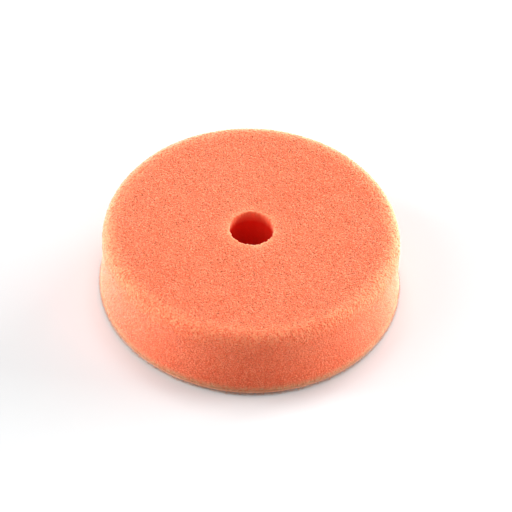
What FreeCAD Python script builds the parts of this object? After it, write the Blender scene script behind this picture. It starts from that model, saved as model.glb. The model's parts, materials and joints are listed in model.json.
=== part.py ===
# Foam polishing pad for a machine polisher: a thick foam disc with a centre hole, on a hook-and-loop backing.
#
# Frame: origin at the centre of the loop face, +Z along the pad's axis towards the working face. Millimetres.
#
# From the backing plate up the pad is laminated from
#     loop_pile      the raised loops that the backing plate's hooks catch
#     loop_cloth     the warp-knit ground cloth that the loops are knitted into
#     adhesive_film  the hot-melt film that bonds the cloth to the foam
#     foam_body      the open-cell foam disc, ground to a rounded shoulder round its flat working face

import FreeCAD, Part
import math
import os

import Sketcher

# Driving dimensions in millimetres: alias, value, what it is.
DIMENSIONS = [
    ("pad_thickness", 24.0, "loop face to working face"),
    ("bore_diameter", 13.2, "centre hole through every layer"),
    ("bore_edge_radius", 0.4, "rounding of the hole at the working face"),
    ("face_diameter", 81.2, "flat working face, inside the shoulder"),
    ("shoulder_diameter", 88.8, "foam at the foot of the rounded shoulder"),
    ("shoulder_drop", 5.2, "working face down to the foot of the shoulder"),
    ("shoulder_side_radius", 7.0, "lower, flatter arc of the shoulder"),
    ("wall_hollow_radius", 138.0, "shallow hollow that die-cutting leaves in the side wall, in section"),
    ("foam_base_diameter", 89.6, "foam where it meets the backing"),
    ("backing_diameter", 90.0, "die-cut disc of film, cloth and loops, a little wider than the foam"),
    ("film_thickness", 0.2, "hot-melt film"),
    ("cloth_thickness", 0.5, "knitted ground cloth"),
    ("pile_thickness", 1.2, "standing height of the loops"),
    ("pile_edge_radius", 0.4, "loops lying over at the rim of the loop face"),
]

SHEET = "Dimensions"
START, END, CENTRE = 1, 2, 3
ROOT, X_AXIS = (-1, 1), -1


def dim(alias):
    """The expression that reads one driving dimension."""
    return f"{SHEET}.{alias}"


def fill_sheet(doc):
    """Writes the driving dimensions to the spreadsheet and returns them by alias."""
    sheet = doc.addObject("Spreadsheet::Sheet", SHEET)
    for row, (alias, value, meaning) in enumerate(DIMENSIONS, start=1):
        sheet.set(f"A{row}", meaning)
        sheet.set(f"B{row}", str(value))
        sheet.setAlias(f"B{row}", alias)
    doc.recompute()
    return {alias: value for alias, value, _ in DIMENSIONS}


def new_body(doc, name, level):
    """A body with its base at the height that the expression level gives."""
    body = doc.addObject("PartDesign::Body", name)
    body.Label = name
    body.setExpression(".Placement.Base.z", level)
    return body


def new_sketch(body, name, plane):
    """A sketch on one of the body's own origin planes."""
    sketch = body.newObject("Sketcher::SketchObject", name)
    support = [f for f in body.Origin.OriginFeatures if f.Role == plane][0]
    sketch.AttachmentSupport = [(support, "")]
    sketch.MapMode = "FlatFace"
    return sketch


def constrain(sketch, kind, *where, size=None, start=1.0):
    """Adds one constraint. With size, an expression, the constraint's value follows the spreadsheet."""
    if size is None:
        sketch.addConstraint(Sketcher.Constraint(kind, *where))
        return
    index = sketch.addConstraint(Sketcher.Constraint(kind, *where, start))
    sketch.setExpression(f"Constraints[{index}]", size)


def arc(x, z, radius, from_degrees, to_degrees):
    """An arc about (x, z), anticlockwise from one angle to the other."""
    circle = Part.Circle(FreeCAD.Vector(x, z, 0), FreeCAD.Vector(0, 0, 1), radius)
    return Part.ArcOfCircle(circle, math.radians(from_degrees), math.radians(to_degrees))


def line(x0, z0, x1, z1):
    return Part.LineSegment(FreeCAD.Vector(x0, z0, 0), FreeCAD.Vector(x1, z1, 0))


def foam_profile(sketch, d):
    """Half section of the foam: bore wall, bore edge, face, two shoulder arcs, hollow side wall and base."""
    height = d["pad_thickness"] - d["film_thickness"] - d["cloth_thickness"] - d["pile_thickness"]
    bore, edge = d["bore_diameter"] / 2, d["bore_edge_radius"]
    face, shoulder, base = (d[k] / 2 for k in ("face_diameter", "shoulder_diameter", "foam_base_diameter"))
    side, hollow = d["shoulder_side_radius"], d["wall_hollow_radius"]
    foot = height - d["shoulder_drop"]

    # Where the arcs' centres and ends lie before the constraints below pull them into place.
    across, down = shoulder - face, d["shoulder_drop"]
    corner = (across**2 + down**2 - 2 * across * side) / (2 * (down - side))
    turn = math.degrees(math.asin((down - corner) / (side - corner)))
    lean = math.degrees(math.atan2(base - shoulder, foot))
    waist = foot * 0.6

    bore_wall, bore_edge, top, corner_arc, side_arc, wall_arc, base_line = (
        sketch.addGeometry(g, False)
        for g in (
            line(bore, 0, bore, height - edge),
            arc(bore + edge, height - edge, edge, 90, 180),
            line(bore + edge, height, face, height),
            arc(face, height - corner, corner, turn, 90),
            arc(shoulder - side, foot, side, -lean, turn),
            arc(shoulder + hollow, waist, hollow, 180 - 2 * lean, 180 + 3 * lean),
            line(base, 0, bore, 0),
        )
    )

    # Neighbours meet end to end, and smoothly everywhere but at the two corners of the base.
    constrain(sketch, "Tangent", bore_wall, END, bore_edge, END)
    constrain(sketch, "Tangent", bore_edge, START, top, START)
    constrain(sketch, "Tangent", top, END, corner_arc, END)
    constrain(sketch, "Tangent", corner_arc, START, side_arc, END)
    constrain(sketch, "Tangent", side_arc, START, wall_arc, START)
    constrain(sketch, "Coincident", wall_arc, END, base_line, START)
    constrain(sketch, "Coincident", base_line, END, bore_wall, START)
    constrain(sketch, "Vertical", bore_wall)
    constrain(sketch, "Horizontal", top)
    constrain(sketch, "Horizontal", base_line)
    constrain(sketch, "PointOnObject", bore_wall, START, X_AXIS)

    backing = " + ".join(dim(k) for k in ("film_thickness", "cloth_thickness", "pile_thickness"))
    foam_height = f"{dim('pad_thickness')} - ({backing})"
    side_centre = f"{dim('shoulder_diameter')} / 2 - {dim('shoulder_side_radius')}"
    sizes = [
        ("DistanceX", (*ROOT, bore_wall, START), f"{dim('bore_diameter')} / 2", bore),
        ("DistanceY", (*ROOT, top, START), foam_height, height),
        ("Radius", (bore_edge,), dim("bore_edge_radius"), edge),
        ("DistanceX", (*ROOT, top, END), f"{dim('face_diameter')} / 2", face),
        ("Radius", (side_arc,), dim("shoulder_side_radius"), side),
        ("DistanceX", (*ROOT, side_arc, CENTRE), side_centre, shoulder - side),
        ("DistanceY", (*ROOT, side_arc, CENTRE), f"{foam_height} - {dim('shoulder_drop')}", foot),
        ("Radius", (wall_arc,), dim("wall_hollow_radius"), hollow),
        ("DistanceX", (*ROOT, base_line, START), f"{dim('foam_base_diameter')} / 2", base),
    ]
    for kind, where, size, start in sizes:
        constrain(sketch, kind, *where, size=size, start=start)


def make_foam_body(doc, d):
    """The foam disc, turned from its half section."""
    level = " + ".join(dim(k) for k in ("pile_thickness", "cloth_thickness", "film_thickness"))
    body = new_body(doc, "foam_body", level)
    profile = new_sketch(body, "foam_section", "XZ_Plane")
    foam_profile(profile, d)
    turned = body.newObject("PartDesign::Revolution", "foam_turned")
    turned.Profile = profile
    turned.ReferenceAxis = (profile, ["V_Axis"])
    turned.Angle = 360
    return body


def make_disc(doc, d, name, level, thickness):
    """One layer of the backing: the die-cut disc with its centre hole, thickness high."""
    body = new_body(doc, name, level)
    outline = new_sketch(body, f"{name}_outline", "XY_Plane")
    for alias in ("backing_diameter", "bore_diameter"):
        circle = Part.Circle(FreeCAD.Vector(0, 0, 0), FreeCAD.Vector(0, 0, 1), d[alias] / 2)
        ring = outline.addGeometry(circle, False)
        constrain(outline, "Coincident", ring, CENTRE, *ROOT)
        constrain(outline, "Diameter", ring, size=dim(alias), start=d[alias])
    layer = body.newObject("PartDesign::Pad", f"{name}_layer")
    layer.Profile = outline
    layer.setExpression("Length", dim(thickness))
    return body


def round_rim(doc, body, radius):
    """Rounds the outer rim of a disc's lower face, where the loops lie over."""
    doc.recompute()
    layer = body.Tip
    hair = 1e-3
    widest = layer.Shape.BoundBox.XMax
    rim = [
        f"Edge{i}"
        for i, edge in enumerate(layer.Shape.Edges, start=1)
        if edge.BoundBox.ZMax < hair and edge.BoundBox.XMax > widest - hair
    ]
    rounded = body.newObject("PartDesign::Fillet", f"{body.Name}_rim")
    rounded.Base = (layer, rim)
    rounded.setExpression("Radius", dim(radius))


def make_backing(doc, d):
    """Loops, ground cloth and hot-melt film, from the loop face up."""
    pile, cloth = dim("pile_thickness"), dim("cloth_thickness")
    loop_pile = make_disc(doc, d, "loop_pile", "0", "pile_thickness")
    round_rim(doc, loop_pile, "pile_edge_radius")
    loop_cloth = make_disc(doc, d, "loop_cloth", pile, "cloth_thickness")
    film = make_disc(doc, d, "adhesive_film", f"{pile} + {cloth}", "film_thickness")
    return [loop_pile, loop_cloth, film]


def check(doc, bodies):
    """Stops the build if an object failed, a sketch isn't held everywhere or a piece isn't one valid solid."""
    for thing in doc.Objects:
        bad = {"Invalid", "Error"} & set(thing.State)
        if bad:
            raise RuntimeError(f"{thing.Name} is {', '.join(sorted(bad))}")
        if thing.TypeId == "Sketcher::SketchObject" and not thing.FullyConstrained:
            raise RuntimeError(f"{thing.Name} isn't fully constrained")
    for body in bodies:
        shape = body.Shape
        if shape.isNull() or not shape.isValid() or len(shape.Solids) != 1:
            raise RuntimeError(f"{body.Label} isn't one valid solid")


def main():
    doc = FreeCAD.newDocument("polishing_pad")
    d = fill_sheet(doc)
    bodies = [make_foam_body(doc, d), *make_backing(doc, d)]
    doc.recompute()
    check(doc, bodies)
    os.makedirs("parts", exist_ok=True)
    for body in bodies:
        body.Shape.exportStep(f"parts/{body.Label}.step")
        box = body.Shape.optimalBoundingBox()
        print(f"{body.Label}: {box.XLength:.2f} mm across, z {box.ZMin:.2f} to {box.ZMax:.2f} mm")


main()
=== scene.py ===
"""Looks of a foam polishing pad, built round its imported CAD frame.

Metres, +Z along the pad's axis from the loop face to the working face. The foam disc with its cut-open
cells, the knitted ground cloth and the loops that stand on it are closed meshes made in code. The film
between foam and cloth is the CAD node itself, with a material of its own.
"""

import json
import math

import bpy
import numpy as np
from mathutils import Matrix, Vector


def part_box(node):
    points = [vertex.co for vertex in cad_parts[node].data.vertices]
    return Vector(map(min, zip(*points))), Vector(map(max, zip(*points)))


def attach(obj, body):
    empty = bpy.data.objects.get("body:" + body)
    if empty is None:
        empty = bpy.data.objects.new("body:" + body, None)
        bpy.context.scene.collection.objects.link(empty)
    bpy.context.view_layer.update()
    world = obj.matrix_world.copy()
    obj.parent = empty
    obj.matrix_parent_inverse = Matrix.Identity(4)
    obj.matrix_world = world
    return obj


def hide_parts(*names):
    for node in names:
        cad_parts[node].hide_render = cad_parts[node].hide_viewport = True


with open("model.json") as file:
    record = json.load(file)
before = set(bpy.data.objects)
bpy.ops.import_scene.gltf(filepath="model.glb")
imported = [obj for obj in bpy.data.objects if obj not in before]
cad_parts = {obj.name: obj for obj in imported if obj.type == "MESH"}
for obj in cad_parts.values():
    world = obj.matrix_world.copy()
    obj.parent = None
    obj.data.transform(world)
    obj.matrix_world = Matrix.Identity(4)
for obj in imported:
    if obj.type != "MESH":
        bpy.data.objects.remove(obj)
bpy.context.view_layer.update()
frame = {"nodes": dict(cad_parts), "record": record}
MM = 0.001
TURN = 2 * math.pi

# From the frame: the heights of the foam and the cloth, and the radii of the hole and the backing.
FOAM_BASE, FOAM_TOP = (corner.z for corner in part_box("foam_body"))
CLOTH_BASE, CLOTH_TOP = (corner.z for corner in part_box("loop_cloth"))
BORE_RADIUS = next(m["dims"]["r_mm"] for m in frame["record"]["mounts"] if m["name"] == "centre_bore") * MM
BACKING_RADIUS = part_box("loop_cloth")[1].x

# Spacing of the meshes along and round the foam, along and round the cloth's stitched side, on the cloth's
# cut edges, and on flat faces that don't show.
FOAM_GRID = 0.14 * MM
FOAM_GRID_ROUND = 1.17 * FOAM_GRID
CLOTH_GRID = 0.24 * MM
CLOTH_GRID_ROUND = 1.1 * CLOTH_GRID
CUT_EDGE_GRID = 0.1 * MM
FLAT_GRID = 2 * MM

# The foam's cells: their pitch, their smallest and largest radius, the skin over one that still counts as
# cut, and how deep a cut cell may look.
CELL = 0.44 * MM
CELL_RADII = (0.40 * CELL, 0.62 * CELL)
CELL_SKIN = 0.03 * MM
PORE_DEPTH = 0.24 * MM

# The foam's section: how far below the face its shoulder ends, and how the face eases down before its edge.
SHOULDER_DROP = 5.2 * MM
EASING_DROP = 0.12 * MM
EASING_WIDTH = 3 * MM

# Unevenness of the foam: slow swells, a torn edge round the hole, and a flare at the foot of the wall.
SWELL = 0.05 * MM
TEAR_DEPTH = 0.26 * MM
TEAR_WIDTH = 0.9 * MM
FLARE = 0.16 * MM
FLARE_SPREAD = 0.12 * MM
LINT_WIDTH = 1.4 * MM

# Painted highlight: a pale halo round the hole, pale specks round a crest that lies a little below the
# face, with their widths on the face and down the shoulder, and the hole's wall painted paler.
HALO_WIDTH = 1.4 * MM
CREST_DROP = 0.8 * MM
CREST_WIDTHS = (1.6 * MM, 2.6 * MM)
BORE_PAINTED_HIGHLIGHT = 0.8

# Painted shade: the wall's, what its foot adds, the hole's at its mouth, and the depth over which the hole
# would go from none to full.
WALL_SHADE = 0.3
FOOT_SHADE = 0.6
MOUTH_DEPTH = 0.3
DEEPENING = 6 * MM

# Nap: how much of it is worn off by the foot of the shoulder, and how much a cut cell takes off.
NAP_WORN_OFF = 0.8
NAP_CUT_OFF = 0.6

# The stretches of the foam's closed section. Below them, for each one in that order: the share of a cut
# cell's depth that shows, how frayed it is, how much painted shade its cut cells get, how much painted pit
# shade it has, and how much nap it has.
BORE, FACE, SHOULDER, WALL, BASE = range(5)
CELLS_SHOWN = np.array([0.4, 1.0, 1.0, 0.8, 0.0])
FRAYED = np.array([0.05, 0.05, 0.10, 0.05, 0.0]) * MM
CELLS_SHADED = np.array([1.0, 1.0, 0.4, 1.0, 1.0])
PITTED = np.array([0.0, 1.0, 0.6, 0.6, 0.0])
NAPPED = np.array([0.0, 0.7, 0.9, 0.2, 0.0])

# The ground cloth: its columns and rows of stitches, how far they slant, how high the yarn is between two of
# them, how deep they are, how unevenly its edge is cut, and its gap to the film.
WALE = 0.95 * MM
COURSE = 0.75 * MM
STITCH_SLANT = 0.45
BETWEEN_STITCHES = 0.45
CLOTH_RELIEF = 0.07 * MM
CLOTH_FRAY = 0.16 * MM
FILM_GAP = 0.01 * MM

# The loops: their pitch and how far off it they may stand, how far they keep from the hole and the rim,
# their height, the shortest one's share of it, half their width at the feet and what is added to it higher
# up, how far their feet sink into the cloth, how far they are twisted and lean at random, how far they lean
# out at the rim, and their yarn.
LOOP_PITCH = 1.16 * MM
LOOP_SCATTER = 0.3 * LOOP_PITCH
LOOP_MARGINS = (0.35 * MM, 0.3 * MM)
LOOP_HEIGHT = 1.12 * MM
SHORTEST_LOOP = 0.86
LOOP_HALF_WIDTHS = (0.16 * MM, 0.2 * MM)
LOOP_SINK = 0.06 * MM
LOOP_TWIST = 0.55
LOOP_LEAN = 0.24 * MM
RIM_LEAN = 0.18 * MM
YARN_RADIUS = 0.075 * MM
YARN_SIDES = 4
YARN_POINTS = 6
LOOP_SEED = 7

# The cut ends of yarn at the rim: how many, how thick along their length, and the limits between which they
# start inside the rim and above the floor, reach out, and fall or rise. FUZZ_ASIDE is how far they stray
# sideways.
FUZZ_COUNT = 5000
FUZZ_RADIUS = 0.028 * MM
FUZZ_TAPER = np.array([1, 0.95, 0.8, 0.4])
FUZZ_SIDES = 3
FUZZ_INSET = (0.05 * MM, 0.35 * MM)
FUZZ_HEIGHT = (0.25 * MM, CLOTH_TOP - 0.1 * MM)
FUZZ_REACH = (0.25 * MM, 0.6 * MM)
FUZZ_RISE = (-0.3 * MM, 0.9 * MM)
FUZZ_ASIDE = 0.45 * MM

# The shades of yarn: from 0 to 1 in a loop, and on to 2 where a cut end is paler still.
LOOP_SHADES = (0, 1)
CUT_END_SHADES = (0.6, 2)


# ---------------------------------------------------------------- noise

HASH_PRIMES = (73856093, 19349663, 83492791, 2654435761)
HASH_ROUNDS = ((16, 0x7FEB352D), (15, 0x846CA68B))
LOW_32_BITS = 0xFFFFFFFF


def hashed(ix, iy, iz, salt):
    """A repeatable number from 0 to 1 for each integer cell, by an integer hash."""
    for_x, for_y, for_z, for_salt = HASH_PRIMES
    h = (ix * for_x) ^ (iy * for_y) ^ (iz * for_z) ^ (salt * for_salt)
    h = h.astype(np.uint64) & np.uint64(LOW_32_BITS)
    for shift, factor in HASH_ROUNDS:
        h = ((h ^ (h >> np.uint64(shift))) * np.uint64(factor)) & np.uint64(LOW_32_BITS)
    h = h ^ (h >> np.uint64(HASH_ROUNDS[0][0]))
    return h.astype(np.float64) / LOW_32_BITS


def smooth_noise(points, size, salt):
    """Value noise from -1 to 1 with features of about size."""
    scaled = points / size
    cell = np.floor(scaled).astype(np.int64)
    t = scaled - cell
    t = t * t * (3 - 2 * t)
    total = np.zeros(len(points))
    for corner in np.ndindex(2, 2, 2):
        weight = np.prod(np.where(corner, t, 1 - t), axis=1)
        total += weight * hashed(*(cell + corner).T, salt)
    return 2 * total - 1


def varied(points, size, salt, middle, spread):
    """Noise with features of about size, that strays from middle by spread."""
    return middle + spread * smooth_noise(points, size, salt)


def cut_cells(points, normals, pitch, smallest, largest, skin, salt):
    """How far the surface falls in where it cuts open round cells, one of random size in each grid cube."""
    depth = np.zeros(len(points))
    home = np.floor(points / pitch).astype(np.int64)
    for step in np.ndindex(3, 3, 3):
        cell = home + step - 1
        centre = (cell + np.stack([hashed(*cell.T, salt + axis) for axis in range(3)], axis=1)) * pitch
        radius = smallest + (largest - smallest) * hashed(*cell.T, salt + 3)
        away = points - centre
        below = np.einsum("ij,ij->i", away, normals)
        half = np.sqrt(np.maximum(radius**2 - np.einsum("ij,ij->i", away, away) + below**2, 0))
        opened = (below - half < skin) & (below + half > 0) & (half > 0)
        depth = np.where(opened, np.maximum(depth, below + half), depth)
    return depth


def soft_limit(depth, most):
    """The depth, bent so that it nears most and never passes it."""
    return most * (1 - np.exp(-depth / most))


def bell(distance, width):
    """1 at no distance, fading to about a third at width and to nothing beyond."""
    return np.exp(-((distance / width) ** 2))


# ---------------------------------------------------------------- meshes

def ring_strip(first, first_count, second, second_count):
    """Faces between two rings of vertices, whose counts are equal or one twice the other."""
    count = min(first_count, second_count)
    i = np.arange(count)
    j = (i + 1) % count
    if first_count == second_count:
        return [np.stack([first + i, second + i, second + j, first + j], axis=1)]
    flip = first_count > second_count
    few, many = (second, first) if flip else (first, second)
    a, b, c = 2 * i, 2 * i + 1, (2 * i + 2) % (2 * count)
    corners = (
        (few + i, many + a, many + b),
        (few + i, many + b, few + j),
        (few + j, many + b, many + c),
    )
    return [np.stack(three[::-1] if flip else three, axis=1) for three in corners]


def mesh_from(name, points, faces):
    """A smooth-shaded mesh object from an array of points and arrays of triangles and quads."""
    mesh = bpy.data.meshes.new(name)
    loops = np.concatenate([f.reshape(-1) for f in faces])
    sizes = np.concatenate([np.full(len(f), f.shape[1]) for f in faces])
    starts = np.concatenate([[0], np.cumsum(sizes)[:-1]])
    mesh.vertices.add(len(points))
    mesh.vertices.foreach_set("co", points.astype(np.float32).reshape(-1))
    mesh.loops.add(len(loops))
    mesh.loops.foreach_set("vertex_index", loops.astype(np.int32))
    mesh.polygons.add(len(sizes))
    mesh.polygons.foreach_set("loop_start", starts.astype(np.int32))
    mesh.polygons.foreach_set("use_smooth", np.ones(len(sizes), bool))
    mesh.update(calc_edges=True)
    piece = bpy.data.objects.new(name, mesh)
    bpy.context.scene.collection.objects.link(piece)
    return piece


def add_attribute(piece, name, values):
    """Stores one number for each of the piece's points, for its material to read."""
    attribute = piece.data.attributes.new(name, "FLOAT", "POINT")
    attribute.data.foreach_set("value", values.astype(np.float32))


# Points closer than this are the same point of a CAD outline.
SAME_POINT = 0.001 * MM


def cad_outline(node, inner):
    """The bore side or the outer side of a turned CAD node, from its base up, as (radius, height) points."""
    co = np.array([v.co for v in frame["nodes"][node].data.vertices])
    radii = np.hypot(co[:, 0], co[:, 1])
    chosen = (radii < 2 * BORE_RADIUS) == inner
    # Level points run outwards on the bore side and inwards on the outer side.
    side = 1 if inner else -1
    found = sorted({(round(z, 6), side * round(r, 5)) for r, z in zip(radii[chosen], co[chosen, 2])})
    return [(side * r, z) for z, r in found]


def walk(outline, step):
    """Points at even steps along (radius, height) points, without the last."""
    outline = np.array(outline)
    corners = np.concatenate([[0], np.cumsum(np.hypot(*np.diff(outline, axis=0).T))])
    run = np.linspace(0, corners[-1], max(2, int(round(corners[-1] / step)) + 1))[:-1]
    return np.stack([np.interp(run, corners, outline[:, axis]) for axis in (0, 1)], axis=1)


# A ring up to this many times as wide as the hole has as many points as the hole's ring.
WIDEST_FIRST_RING = 1.16
MOST_DOUBLINGS = 3


def turned(stretches, step_round):
    """Rings of points along a closed section of several (outline, step) stretches, and the faces between.

    Returns every point's place, normal and stretch number, the faces, and every face's stretch number. A
    ring has one, two, four or eight times as many points as the bore's, so that they stay about step_round
    apart.
    """
    rings = [walk(outline, step) for outline, step in stretches]
    stretch_of = np.repeat(np.arange(len(rings)), [len(r) for r in rings])
    rings = np.concatenate(rings)
    along = np.roll(rings, -1, axis=0) - np.roll(rings, 1, axis=0)
    along /= np.hypot(along[:, 0], along[:, 1])[:, None]

    fewest = int(round(TURN * BORE_RADIUS / step_round))
    doublings = np.ceil(np.log2(rings[:, 0] / (WIDEST_FIRST_RING * BORE_RADIUS)))
    doublings = np.clip(doublings, 0, MOST_DOUBLINGS).astype(int)
    counts = fewest * 2**doublings
    firsts = np.concatenate([[0], np.cumsum(counts)[:-1]])
    ring = np.repeat(np.arange(len(counts)), counts)
    index = np.arange(len(ring)) - firsts[ring]

    # Staggered by half a step from ring to ring and shaken, so that no rows of vertices show.
    shake = 0.5 * (hashed(ring, index, ring * 0, salt=11) - 0.5)
    angle = TURN * (index + shake + 0.5 * (ring % 2)) / counts[ring]
    out = np.stack([np.cos(angle), np.sin(angle)], axis=1)
    place = np.concatenate([out * rings[ring, :1], rings[ring, 1:]], axis=1)
    normal = np.concatenate([-out * along[ring, 1:], along[ring, :1]], axis=1)

    faces, face_stretch = [], []
    for this in range(len(counts)):
        after = (this + 1) % len(counts)
        strip = ring_strip(firsts[this], counts[this], firsts[after], counts[after])
        faces += strip
        face_stretch += [np.full(len(f), stretch_of[this]) for f in strip]
    return place, normal, stretch_of[ring], faces, np.concatenate(face_stretch)


def tubes(paths, across, radii, sides):
    """Closed tubes along paths, an array (tube, point, xyz). across is square to each tube's plane."""
    count, length, _ = paths.shape
    along = np.gradient(paths, axis=1)
    along /= np.linalg.norm(along, axis=2, keepdims=True)
    first = np.broadcast_to(across[:, None], along.shape)
    second = np.cross(along, first)
    turn = TURN * np.arange(sides) / sides
    rings = first[:, :, None] * np.cos(turn)[:, None] + second[:, :, None] * np.sin(turn)[:, None]
    points = (paths[:, :, None] + rings * radii[:, None, None]).reshape(-1, 3)

    start = (np.arange(count) * length * sides)[:, None, None]
    here = start + (np.arange(length - 1) * sides)[:, None] + np.arange(sides)
    beside = start + (np.arange(length - 1) * sides)[:, None] + (np.arange(sides) + 1) % sides
    walls = np.stack([here, beside, beside + sides, here + sides], axis=-1).reshape(-1, 4)
    near_end = start[:, 0] + np.arange(sides)[::-1]
    far_end = start[:, 0] + (length - 1) * sides + np.arange(sides)
    return points, [walls, near_end, far_end]


# ---------------------------------------------------------------- bake maps

# Each piece has a UV layer for its baked looks. A turned piece's parts lie side by side on a square sheet of
# the size ATLAS: two discs, and the walls of hole and rim, unrolled.
BAKE_LAYER = "OFBake"
ATLAS = 158 * MM
BIG_DISC = (50.5 * MM, 50.5 * MM)
SMALL_DISC = (130 * MM, 57 * MM)
SMALL_SHARE = 0.5
BORE_STRIP = (108 * MM, 3 * MM)
WALL_STRIPS = (2 * MM, 102 * MM)
WALL_ROWS = 3
WALL_PITCH = 18.5 * MM

# In its own cell of the loops' sheet, a tube keeps this far from the edge and gives its end caps this radius.
CELL_MARGIN = 0.1
CAP_SHARE = 0.02


def as_disc(centre, spread):
    """Lays faces flat round centre, each corner at the distance spread(radius, height) from it."""
    def layout(place, middle):
        angle = np.arctan2(place[:, 1], place[:, 0])
        far = spread(np.hypot(place[:, 0], place[:, 1]), place[:, 2])
        return np.stack([centre[0] + far * np.cos(angle), centre[1] + far * np.sin(angle)], axis=1)
    return layout


def as_strips(corner, rows, radius, base):
    """Unrolls a wall that stands on base into rows of strips, one above the other."""
    def layout(place, middle):
        angle = np.arctan2(place[:, 1], place[:, 0])
        near_face = middle + (angle - middle + math.pi) % TURN - math.pi
        row = np.floor(middle / TURN * rows)
        across = (near_face - row * TURN / rows) * radius
        up = place[:, 2] - base + row * WALL_PITCH
        return np.stack([corner[0] + across, corner[1] + up], axis=1)
    return layout


def lay_out(piece, face_stretch, layouts):
    """Gives a turned piece its bake layer. layouts says how each stretch of its section is laid flat."""
    mesh = piece.data
    co = np.empty(3 * len(mesh.vertices))
    mesh.vertices.foreach_get("co", co)
    vertex = np.empty(len(mesh.loops), int)
    mesh.loops.foreach_get("vertex_index", vertex)
    starts, sizes = np.empty((2, len(mesh.polygons)), int)
    mesh.polygons.foreach_get("loop_start", starts)
    mesh.polygons.foreach_get("loop_total", sizes)
    place = co.reshape(-1, 3)[vertex]
    centre = np.add.reduceat(place, starts) / sizes[:, None]
    middle = np.repeat(np.arctan2(centre[:, 1], centre[:, 0]) % TURN, sizes)
    stretch = np.repeat(face_stretch, sizes)
    flat = np.zeros((len(place), 2))
    for number, layout in enumerate(layouts):
        chosen = stretch == number
        flat[chosen] = layout(place[chosen], middle[chosen])
    set_bake_layer(piece, flat / ATLAS)


def set_bake_layer(piece, uv):
    """Stores the bake layer: uv is a place on the square from 0 to 1 for each corner of each face."""
    layer = piece.data.uv_layers.new(name=BAKE_LAYER)
    layer.data.foreach_set("uv", uv.astype(np.float32).reshape(-1))


def tube_cells(count, length, sides):
    """Where the corners of each tube's faces lie within its own cell, walls first, then the two end caps."""
    point, side = np.meshgrid(np.arange(length - 1), np.arange(sides), indexing="ij")
    corners = [(point, side), (point, side + 1), (point + 1, side + 1), (point + 1, side)]
    wall = [np.stack([along / (length - 1), around / sides], axis=-1) for along, around in corners]
    wall = np.stack(wall, axis=-2).reshape(-1, 2)
    turn = TURN * np.arange(sides) / sides
    cap = 0.5 + CAP_SHARE * np.stack([np.cos(turn), np.sin(turn)], axis=1)
    return [np.broadcast_to(part, (count, *part.shape)) for part in (wall, cap[::-1], cap)]


# ---------------------------------------------------------------- pieces

def foam_section():
    """The foam's closed section as (outline, step) stretches, and the radius at which its flat face ends."""
    inner, outer = cad_outline("foam_body", True), cad_outline("foam_body", False)
    shoulder = [point for point in outer if point[1] > FOAM_TOP - SHOULDER_DROP - SAME_POINT]
    wall = outer[: len(outer) - len(shoulder) + 1]
    stretches = [
        (inner, FOAM_GRID),
        ([inner[-1], outer[-1]], FOAM_GRID),
        (shoulder[::-1], FOAM_GRID),
        (wall[::-1], FOAM_GRID),
        ([outer[0], inner[0]], FLAT_GRID),
    ]
    return stretches, outer[-1][0]


def torn_edge(out, from_hole):
    """How far the edge of the hole is torn away from the axis or, below zero, towards it."""
    round_hole = out * BORE_RADIUS
    jagged = smooth_noise(round_hole, size=0.36 * MM, salt=41)
    jagged += 0.5 * smooth_noise(round_hole, size=1.1 * MM, salt=42)
    return TEAR_DEPTH * jagged * bell(from_hole, TEAR_WIDTH)


def eased(radius, below_face, stretch, face_edge):
    """How far the surface eases down on both sides of the edge of the face."""
    before = np.clip(1 - (face_edge - radius) / EASING_WIDTH, 0, 1) ** 2 * (stretch == FACE)
    after = np.clip(1 - below_face / EASING_WIDTH, 0, 1) * (stretch == SHOULDER)
    return EASING_DROP * (before + after)


def painted_highlight(place, stretch, radius, below_face, from_hole, face_edge):
    """Painted highlight: a pale halo round the hole, pale specks along the shoulder, the hole's wall."""
    halo = np.exp(-from_hole / HALO_WIDTH) * varied(place, size=1.2 * MM, salt=51, middle=0.75, spread=0.5)
    inside, past = np.minimum(radius - face_edge, 0), below_face - CREST_DROP
    from_crest = np.hypot(inside / CREST_WIDTHS[0], past / CREST_WIDTHS[1])
    specks = bell(from_crest, 1) * varied(place, size=0.36 * MM, salt=71, middle=0.3, spread=1.1)
    specks *= (stretch == FACE) | (stretch == SHOULDER)
    return np.clip(halo * (stretch == FACE) + specks + BORE_PAINTED_HIGHLIGHT * (stretch == BORE), 0, 1)


def foam_layouts():
    """How each stretch of the foam is laid flat for its bake layer."""
    top_disc = as_disc(BIG_DISC, lambda radius, height: radius + FOAM_TOP - height)
    return [
        as_strips(BORE_STRIP, 1, BORE_RADIUS, FOAM_BASE),
        top_disc,
        top_disc,
        as_strips(WALL_STRIPS, WALL_ROWS, BACKING_RADIUS, FOAM_BASE),
        as_disc(SMALL_DISC, lambda radius, height: SMALL_SHARE * radius),
    ]


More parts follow.
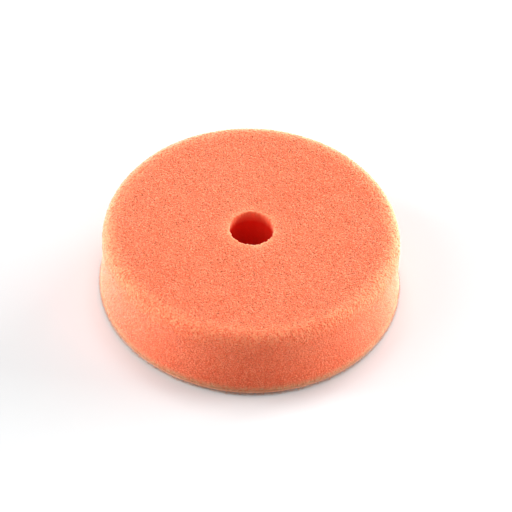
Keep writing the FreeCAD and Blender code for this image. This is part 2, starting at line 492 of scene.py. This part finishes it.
def make_foam():
    """The foam disc: die-cut wall, ground shoulder and face, all showing the cells that the cuts opened."""
    stretches, face_edge = foam_section()
    place, normal, stretch, faces, face_stretch = turned(stretches, FOAM_GRID_ROUND)
    radius = np.hypot(place[:, 0], place[:, 1])
    out = place * [1, 1, 0] / radius[:, None]
    below_face = FOAM_TOP - place[:, 2]
    from_hole = np.hypot(radius - BORE_RADIUS, below_face)
    showing = stretch != BASE

    depth = soft_limit(cut_cells(place, normal, CELL, *CELL_RADII, CELL_SKIN, salt=1), PORE_DEPTH)
    painted_shade = depth / PORE_DEPTH * showing
    swell = SWELL * smooth_noise(place, size=4 * MM, salt=21) * showing
    fray = FRAYED[stretch] * smooth_noise(place, size=0.36 * MM, salt=31)
    lint = bell(place[:, 2] - FOAM_BASE, LINT_WIDTH) * (stretch == WALL)
    flare = varied(place, size=0.5 * MM, salt=91, middle=FLARE, spread=FLARE_SPREAD) * lint**2
    lowered = depth * CELLS_SHOWN[stretch] + eased(radius, below_face, stretch, face_edge)
    raised = swell + fray + flare - lowered
    moved = place + normal * raised[:, None] + out * torn_edge(out, from_hole)[:, None]
    piece = mesh_from("foam_disc", moved, faces)

    # What the material reads: painted shade (cells, wall, hole), pits, painted highlight, lint and nap.
    wall_height = FOAM_TOP - SHOULDER_DROP - FOAM_BASE
    down_wall = np.clip((below_face - SHOULDER_DROP) / wall_height, 0, 1)
    wall_shade = (WALL_SHADE + FOOT_SHADE * down_wall) * (stretch == WALL)
    down_hole = np.clip(MOUTH_DEPTH + below_face / DEEPENING, 0, 1) * (stretch == BORE)
    linted = np.clip(lint * varied(place, size=0.4 * MM, salt=81, middle=0.7, spread=0.6), 0, 1)
    nap_left = 1 - NAP_WORN_OFF * np.clip(below_face / SHOULDER_DROP, 0, 1) * (stretch == SHOULDER)
    add_attribute(piece, "painted_shade", painted_shade * CELLS_SHADED[stretch] + wall_shade)
    add_attribute(piece, "open", PITTED[stretch])
    add_attribute(piece, "painted_highlight", painted_highlight(place, stretch, radius, below_face, from_hole, face_edge))
    add_attribute(piece, "painted_hole_shade", down_hole)
    add_attribute(piece, "lint", linted)
    add_attribute(piece, "nap", NAPPED[stretch] * (1 - NAP_CUT_OFF * painted_shade) * nap_left)
    lay_out(piece, face_stretch, foam_layouts())
    return piece


def stitch_relief(place):
    """Height from 0 to 1 of warp-knit stitches: columns of slanting yarn, mirrored from column to column."""
    column = place[:, 0] / WALE
    across = np.abs(2 * (column % 1) - 1)
    bulge = np.sin(math.pi * (column % 1))
    stitch = 0.5 + 0.5 * np.cos(TURN * (place[:, 1] / COURSE + STITCH_SLANT * across))
    return bulge * (BETWEEN_STITCHES + (1 - BETWEEN_STITCHES) * stitch)


def make_cloth():
    """The ground cloth: a die-cut disc of warp knit, with stitches on the loop side and a frayed edge."""
    low, high = CLOTH_BASE, CLOTH_TOP - FILM_GAP
    bore, rim = BORE_RADIUS, BACKING_RADIUS
    stretches = [
        ([(bore, low), (bore, high)], CUT_EDGE_GRID),
        ([(bore, high), (rim, high)], FLAT_GRID),
        ([(rim, high), (rim, low)], CUT_EDGE_GRID),
        ([(rim, low), (bore, low)], CLOTH_GRID),
    ]
    place, normal, stretch, faces, face_stretch = turned(stretches, CLOTH_GRID_ROUND)
    at_hole, _, at_rim, on_loop_side = (stretch == number for number in range(len(stretches)))
    relief = stitch_relief(place)
    sunk = np.where(on_loop_side, CLOTH_RELIEF * (1 - relief), 0)
    cut_edge = np.where(at_hole | at_rim, CLOTH_FRAY * smooth_noise(place, size=0.3 * MM, salt=61), 0)
    moved = place + normal * (cut_edge - sunk)[:, None]
    piece = mesh_from("ground_cloth", moved, faces)
    add_attribute(piece, "relief", relief)
    layouts = [
        as_strips(BORE_STRIP, 1, BORE_RADIUS, low),
        as_disc(SMALL_DISC, lambda radius, height: SMALL_SHARE * radius),
        as_strips(WALL_STRIPS, WALL_ROWS, BACKING_RADIUS, low),
        as_disc(BIG_DISC, lambda radius, height: radius),
    ]
    lay_out(piece, face_stretch, layouts)
    return piece


def loop_paths(rng):
    """The loops' arched paths, down from the cloth and back, and the normal of each loop's plane."""
    steps = int(BACKING_RADIUS / LOOP_PITCH) + 1
    grid = np.stack(np.meshgrid(*[np.arange(-steps, steps + 1)] * 2), axis=-1).reshape(-1, 2) * LOOP_PITCH
    grid += rng.uniform(-1, 1, grid.shape) * LOOP_SCATTER
    radius = np.hypot(grid[:, 0], grid[:, 1])
    innermost, outermost = BORE_RADIUS + LOOP_MARGINS[0], BACKING_RADIUS - LOOP_MARGINS[1]
    foot = grid[(radius > innermost) & (radius < outermost)]
    count = len(foot)

    heading = rng.normal(math.pi / 2, LOOP_TWIST, count)
    along = np.stack([np.cos(heading), np.sin(heading), np.zeros(count)], axis=1)
    lean = rng.normal(0, LOOP_LEAN, (count, 2))
    lean += RIM_LEAN * foot / BACKING_RADIUS
    height = rng.uniform(SHORTEST_LOOP, 1.0, count) * LOOP_HEIGHT
    tip = np.stack([lean[:, 0], lean[:, 1], -height], axis=1)

    arch = np.linspace(0, math.pi, YARN_POINTS)
    at_foot, bulge = LOOP_HALF_WIDTHS
    width = at_foot + bulge * np.sin(arch)
    base = np.stack([foot[:, 0], foot[:, 1], np.full(count, CLOTH_BASE + LOOP_SINK)], axis=1)
    paths = base[:, None] + along[:, None] * (np.cos(arch) * width)[:, None]
    paths = paths + tip[:, None] * np.sin(arch)[:, None]
    across = np.cross(along, tip)
    return paths, across / np.linalg.norm(across, axis=1, keepdims=True)


def fuzz_paths(rng):
    """Short cut ends of yarn that stick out round the rim of the backing."""
    angle = rng.uniform(0, TURN, FUZZ_COUNT)
    out = np.stack([np.cos(angle), np.sin(angle), np.zeros(FUZZ_COUNT)], axis=1)
    round_rim = np.stack([-out[:, 1], out[:, 0], np.zeros(FUZZ_COUNT)], axis=1)
    up = np.array([0, 0, 1.0])
    root = out * (BACKING_RADIUS - rng.uniform(*FUZZ_INSET, FUZZ_COUNT))[:, None]
    root += up * rng.uniform(*FUZZ_HEIGHT, FUZZ_COUNT)[:, None]
    reach = rng.uniform(*FUZZ_REACH, FUZZ_COUNT)[:, None]
    aside = rng.normal(0, FUZZ_ASIDE, FUZZ_COUNT)[:, None]
    rise = rng.uniform(*FUZZ_RISE, FUZZ_COUNT)[:, None]
    t = np.linspace(0, 1, len(FUZZ_TAPER))[:, None]
    paths = root[:, None] + (out * reach)[:, None] * t + (round_rim * aside)[:, None] * t**1.5
    paths += (up * rise)[:, None] * t**2
    paths[..., 2] = np.maximum(paths[..., 2], 2 * FUZZ_RADIUS)
    along = paths[:, -1] - paths[:, 0]
    across = np.cross(along, up)
    return paths, across / np.linalg.norm(across, axis=1, keepdims=True)


def make_loops():
    """The loops that a backing plate's hooks catch, and the fuzz of cut yarn round the rim, as one mesh."""
    rng = np.random.default_rng(LOOP_SEED)
    paths, across = loop_paths(rng)
    points, faces = tubes(paths, across, np.full(YARN_POINTS, YARN_RADIUS), YARN_SIDES)
    shade = np.repeat(rng.uniform(*LOOP_SHADES, len(paths)), YARN_POINTS * YARN_SIDES)

    hairs, hairs_across = fuzz_paths(rng)
    hair_points, hair_faces = tubes(hairs, hairs_across, FUZZ_RADIUS * FUZZ_TAPER, FUZZ_SIDES)
    hair_shade = np.repeat(rng.uniform(*CUT_END_SHADES, len(hairs)), len(FUZZ_TAPER) * FUZZ_SIDES)

    faces = faces + [f + len(points) for f in hair_faces]
    piece = mesh_from("loops", np.concatenate([points, hair_points]), faces)
    add_attribute(piece, "shade", np.concatenate([shade, hair_shade]))

    # One square cell of the bake layer for each tube.
    per_side = math.ceil(math.sqrt(len(paths) + len(hairs)))
    flat = []
    for numbers, parts in (
        (np.arange(len(paths)), tube_cells(len(paths), YARN_POINTS, YARN_SIDES)),
        (np.arange(len(hairs)) + len(paths), tube_cells(len(hairs), len(FUZZ_TAPER), FUZZ_SIDES)),
    ):
        cell = np.stack([numbers % per_side, numbers // per_side], axis=1)[:, None]
        inside = [cell + CELL_MARGIN + (1 - 2 * CELL_MARGIN) * part for part in parts]
        flat += [(place / per_side).reshape(-1, 2) for place in inside]
    set_bake_layer(piece, np.concatenate(flat))
    return piece


# ---------------------------------------------------------------- materials

def new_material(name):
    """A material, its nodes and links, and its Principled node."""
    material = bpy.data.materials.new(name)
    material.use_nodes = True
    nodes, links = material.node_tree.nodes, material.node_tree.links
    return material, nodes, links, nodes["Principled BSDF"]


def attribute_value(nodes, name):
    """The value of a mesh's own attribute."""
    node = nodes.new("ShaderNodeAttribute")
    node.attribute_name = name
    return node.outputs["Fac"]


def noise_value(nodes, links, size, detail):
    """Noise from about 0.3 to 0.7 with features of about size, in the object's own space."""
    place = nodes.new("ShaderNodeTexCoord")
    noise = nodes.new("ShaderNodeTexNoise")
    noise.inputs["Scale"].default_value = 0.5 / size
    noise.inputs["Detail"].default_value = detail
    links.new(place.outputs["Object"], noise.inputs["Vector"])
    return noise.outputs["Fac"]


def stretched(nodes, links, value, low, high, to_low=0.0, to_high=1.0):
    """The value with low to high spread over to_low to to_high, and clamped there."""
    node = nodes.new("ShaderNodeMapRange")
    for name, number in (("From Min", low), ("From Max", high), ("To Min", to_low), ("To Max", to_high)):
        node.inputs[name].default_value = number
    links.new(value, node.inputs["Value"])
    return node.outputs["Result"]


def mixed(nodes, links, factor, first, second):
    """Two colours mixed by factor. Each colour is a socket or three numbers."""
    node = nodes.new("ShaderNodeMix")
    node.data_type = "RGBA"
    links.new(factor, node.inputs["Factor"])
    for colour, socket in ((first, node.inputs[6]), (second, node.inputs[7])):
        if isinstance(colour, tuple):
            socket.default_value = (*colour, 1)
        else:
            links.new(colour, socket)
    return node.outputs[2]


def product(nodes, links, first, second):
    """Two values multiplied."""
    node = nodes.new("ShaderNodeMath")
    node.operation = "MULTIPLY"
    links.new(first, node.inputs[0])
    links.new(second, node.inputs[1])
    return node.outputs["Value"]


def bumped(nodes, links, surface, height, distance, strength):
    """Bumps the surface by height, a value, times distance."""
    bump = nodes.new("ShaderNodeBump")
    bump.inputs["Distance"].default_value = distance
    bump.inputs["Strength"].default_value = strength
    links.new(height, bump.inputs["Height"])
    links.new(bump.outputs["Normal"], surface.inputs["Normal"])


# Colours are linear. The foam's: its body's two tones, painted shade for cells and wall, painted pit shade,
# its pale specks, painted highlight, painted shade down the hole, and where lint gathers at the wall's foot.
FOAM_BODY = ((0.93, 0.160, 0.073), (0.95, 0.180, 0.083))
FOAM_CELL_SHADE = (0.78, 0.105, 0.045)
FOAM_PIT_SHADE = (0.38, 0.040, 0.012)
FOAM_SPECK = (1.0, 0.28, 0.145)
FOAM_PAINTED_HIGHLIGHT = (1.0, 0.34, 0.17)
FOAM_HOLE_SHADE = (0.88, 0.032, 0.015)
FOAM_LINT = (0.72, 0.30, 0.16)

# How far light spreads inside the foam, and in what proportions of red, green and blue.
LIGHT_SPREAD = 3.6 * MM
SPREAD_BY_COLOUR = (1.0, 0.6, 0.45)


def foam_colour(nodes, links):
    """The foam's colour, layer on layer."""
    mottle = noise_value(nodes, links, size=5 * MM, detail=3)
    mottle = stretched(nodes, links, mottle, low=0.35, high=0.65)
    colour = mixed(nodes, links, mottle, *FOAM_BODY)
    # Painted shade in the cut cells and on the wall, darker towards its foot.
    cell = stretched(nodes, links, attribute_value(nodes, "painted_shade"), low=0.15, high=1.0, to_high=0.8)
    colour = mixed(nodes, links, cell, colour, FOAM_CELL_SHADE)
    # Painted shade in the pits.
    pit = noise_value(nodes, links, size=0.15 * MM, detail=1)
    pit = stretched(nodes, links, pit, low=0.49, high=0.36)
    pit = product(nodes, links, pit, attribute_value(nodes, "open"))
    colour = mixed(nodes, links, pit, colour, FOAM_PIT_SHADE)
    speck = noise_value(nodes, links, size=0.17 * MM, detail=1)
    speck = stretched(nodes, links, speck, low=0.52, high=0.64)
    colour = mixed(nodes, links, speck, colour, FOAM_SPECK)
    # Painted highlight, painted shade down the hole, and lint at the foot of the wall.
    for name, shade in (("painted_highlight", FOAM_PAINTED_HIGHLIGHT), ("painted_hole_shade", FOAM_HOLE_SHADE), ("lint", FOAM_LINT)):
        colour = mixed(nodes, links, attribute_value(nodes, name), colour, shade)
    return colour


def foam_material():
    """Coral open-cell foam: painted highlights, painted shade in the cells and the hole, soft and dull."""
    material, nodes, links, surface = new_material("coral_foam")
    links.new(foam_colour(nodes, links), surface.inputs["Base Color"])
    grain = noise_value(nodes, links, size=0.15 * MM, detail=1)
    bumped(nodes, links, surface, grain, distance=0.05 * MM, strength=0.7)
    surface.inputs["Roughness"].default_value = 0.9
    surface.inputs["Specular IOR Level"].default_value = 0.0
    nap = stretched(nodes, links, attribute_value(nodes, "nap"), low=0, high=1, to_high=0.9)
    links.new(nap, surface.inputs["Sheen Weight"])
    surface.inputs["Sheen Roughness"].default_value = 0.5
    surface.inputs["Sheen Tint"].default_value = (1.0, 1.0, 0.7, 1)
    surface.inputs["Subsurface Weight"].default_value = 0.75
    surface.inputs["Subsurface Radius"].default_value = SPREAD_BY_COLOUR
    surface.inputs["Subsurface Scale"].default_value = LIGHT_SPREAD
    return material


# The knit's colours: painted shade in the hollows of the stitches, painted highlight on their crowns, and a
# stain.
KNIT_HOLLOW_SHADE = (0.62, 0.22, 0.11)
KNIT_CROWN_HIGHLIGHT = (0.86, 0.42, 0.26)
KNIT_STAIN = (0.74, 0.30, 0.16)


def cloth_material():
    """Peach polyester knit, faintly stained: painted highlight on stitch crowns, painted shade in hollows."""
    material, nodes, links, surface = new_material("ground_knit")
    crown = stretched(nodes, links, attribute_value(nodes, "relief"), low=0.1, high=0.9)
    knit = mixed(nodes, links, crown, KNIT_HOLLOW_SHADE, KNIT_CROWN_HIGHLIGHT)
    stain = noise_value(nodes, links, size=6 * MM, detail=2)
    stain = stretched(nodes, links, stain, low=0.4, high=0.7, to_high=0.35)
    links.new(mixed(nodes, links, stain, knit, KNIT_STAIN), surface.inputs["Base Color"])
    fibre = noise_value(nodes, links, size=0.08 * MM, detail=1)
    bumped(nodes, links, surface, fibre, distance=0.02 * MM, strength=0.6)
    surface.inputs["Roughness"].default_value = 0.8
    surface.inputs["Sheen Weight"].default_value = 0.3
    return material


YARN_DARK = (0.58, 0.24, 0.14)
YARN_PALE = (0.80, 0.42, 0.28)
YARN_CUT_END = (0.90, 0.52, 0.33)


def loop_material():
    """Nylon yarn, slightly lustrous, each loop of its own tone and the cut ends paler."""
    material, nodes, links, surface = new_material("loop_yarn")
    shade = attribute_value(nodes, "shade")
    loop = stretched(nodes, links, shade, low=0, high=1)
    yarn = mixed(nodes, links, loop, YARN_DARK, YARN_PALE)
    cut_end = stretched(nodes, links, shade, low=1, high=2)
    links.new(mixed(nodes, links, cut_end, yarn, YARN_CUT_END), surface.inputs["Base Color"])
    surface.inputs["Roughness"].default_value = 0.5
    surface.inputs["Sheen Weight"].default_value = 0.2
    return material


FILM_CLEAR = (0.60, 0.24, 0.12)
FILM_HAZY = (0.72, 0.31, 0.16)


def film_material():
    """Amber hot-melt film, glossy, with the haze of having been pressed into foam."""
    material, nodes, links, surface = new_material("hot_melt")
    haze = noise_value(nodes, links, size=0.5 * MM, detail=2)
    haze = stretched(nodes, links, haze, low=0.35, high=0.65)
    links.new(mixed(nodes, links, haze, FILM_CLEAR, FILM_HAZY), surface.inputs["Base Color"])
    roughness = stretched(nodes, links, haze, low=0, high=1, to_low=0.3, to_high=0.55)
    links.new(roughness, surface.inputs["Roughness"])
    return material


def finish_cad_node(node, material):
    """Gives a carried-over CAD node a material of its own."""
    for slot in frame["nodes"][node].material_slots:
        slot.link = "OBJECT"
        slot.material = material


# ---------------------------------------------------------------- stage

FLOOR_SIZE = 2.4
FLOOR_COLOUR = (0.77, 0.79, 0.795, 1)
SOFTBOX_DISTANCE = 1.8
SOFTBOX_SIZE = (0.9, 0.7)

# Each softbox: its name, azimuth in degrees from +X towards +Y, elevation in degrees, and power in watts.
SOFTBOXES = (
    ("left", 175, 12, 37),
    ("right", 7, 12, 36),
    ("back_right", 45, 12, 30),
    ("high_back", 90, 72, 12.5),
    ("high_front", 270, 60, 3),
    ("high_left", 200, 45, 6),
)

# The world's strength as a light, and as the backdrop that the camera sees.
WORLD_LIGHT = 0.3
BACKDROP = 0.95


def make_floor():
    """A pale paper floor under the pad."""
    bpy.ops.mesh.primitive_plane_add(size=FLOOR_SIZE)
    floor = bpy.context.object
    floor.name = "floor"
    material, nodes, links, surface = new_material("floor_paper")
    surface.inputs["Base Color"].default_value = FLOOR_COLOUR
    surface.inputs["Roughness"].default_value = 0.8
    floor.data.materials.append(material)


def softbox(name, azimuth, elevation, power):
    """A rectangular softbox that faces the pad from SOFTBOX_DISTANCE."""
    azimuth, elevation = math.radians(azimuth), math.radians(elevation)
    level = math.cos(elevation)
    towards = Vector((math.cos(azimuth) * level, math.sin(azimuth) * level, math.sin(elevation)))
    data = bpy.data.lights.new(name, "AREA")
    data.shape = "RECTANGLE"
    data.size, data.size_y = SOFTBOX_SIZE
    data.energy = power
    light = bpy.data.objects.new(name, data)
    light.location = SOFTBOX_DISTANCE * towards
    light.rotation_euler = towards.to_track_quat("Z", "Y").to_euler()
    bpy.context.scene.collection.objects.link(light)


# The camera: how far up it looks from, how askew it is held, its distance from the origin, how far its aim
# lies to the right of the origin and above it in the picture, its sensor and lens in millimetres, and how far
# it sees.
CAMERA_ELEVATION = math.radians(47.2)
CAMERA_ROLL = math.radians(2.28)
CAMERA_DISTANCE = 1.2
AIM_RIGHT = 1.95 * MM
AIM_UP = 8.15 * MM
SENSOR_WIDTH = 36
LENS = 280.3
CAMERA_REACH = 20


def make_camera():
    """A long lens from the front, held a little askew."""
    rise, level = math.sin(CAMERA_ELEVATION), math.cos(CAMERA_ELEVATION)
    right = Vector((math.cos(CAMERA_ROLL), math.sin(CAMERA_ROLL) * rise, math.sin(CAMERA_ROLL) * level))
    back = Vector((0, -level, rise))
    place = CAMERA_DISTANCE * back
    aim = AIM_RIGHT * right + AIM_UP * back.cross(right)
    back = (place - aim).normalized()
    right = (right - right.dot(back) * back).normalized()
    data = bpy.data.cameras.new("camera")
    data.sensor_width = SENSOR_WIDTH
    data.lens = LENS
    data.clip_end = CAMERA_REACH
    camera = bpy.data.objects.new("camera", data)
    turned_to = Matrix((right, back.cross(right), back)).transposed().to_4x4()
    camera.matrix_world = Matrix.Translation(place) @ turned_to
    bpy.context.scene.collection.objects.link(camera)
    bpy.context.scene.camera = camera


def make_world():
    """Even light all round, and a paler backdrop where the camera looks past the floor."""
    world = bpy.data.worlds.new("studio")
    world.use_nodes = True
    nodes, links = world.node_tree.nodes, world.node_tree.links
    ray = nodes.new("ShaderNodeLightPath")
    mix = nodes.new("ShaderNodeMix")
    mix.inputs["A"].default_value = WORLD_LIGHT
    mix.inputs["B"].default_value = BACKDROP
    links.new(ray.outputs["Is Camera Ray"], mix.inputs["Factor"])
    links.new(mix.outputs["Result"], nodes["Background"].inputs["Strength"])
    nodes["Background"].inputs["Color"].default_value = (1, 1, 1, 1)
    bpy.context.scene.world = world


# ---------------------------------------------------------------- the pad

foam = make_foam()
foam.data.materials.append(foam_material())
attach(foam, "root")
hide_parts("foam_body")

loops = make_loops()
loops.data.materials.append(loop_material())
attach(loops, "root")
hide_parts("loop_pile")

cloth = make_cloth()
cloth.data.materials.append(cloth_material())
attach(cloth, "root")
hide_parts("loop_cloth")

finish_cad_node("adhesive_film", film_material())

make_floor()
for name, azimuth, elevation, power in SOFTBOXES:
    softbox(name, azimuth, elevation, power)
make_world()
make_camera()
bpy.context.scene.view_settings.view_transform = "Standard"
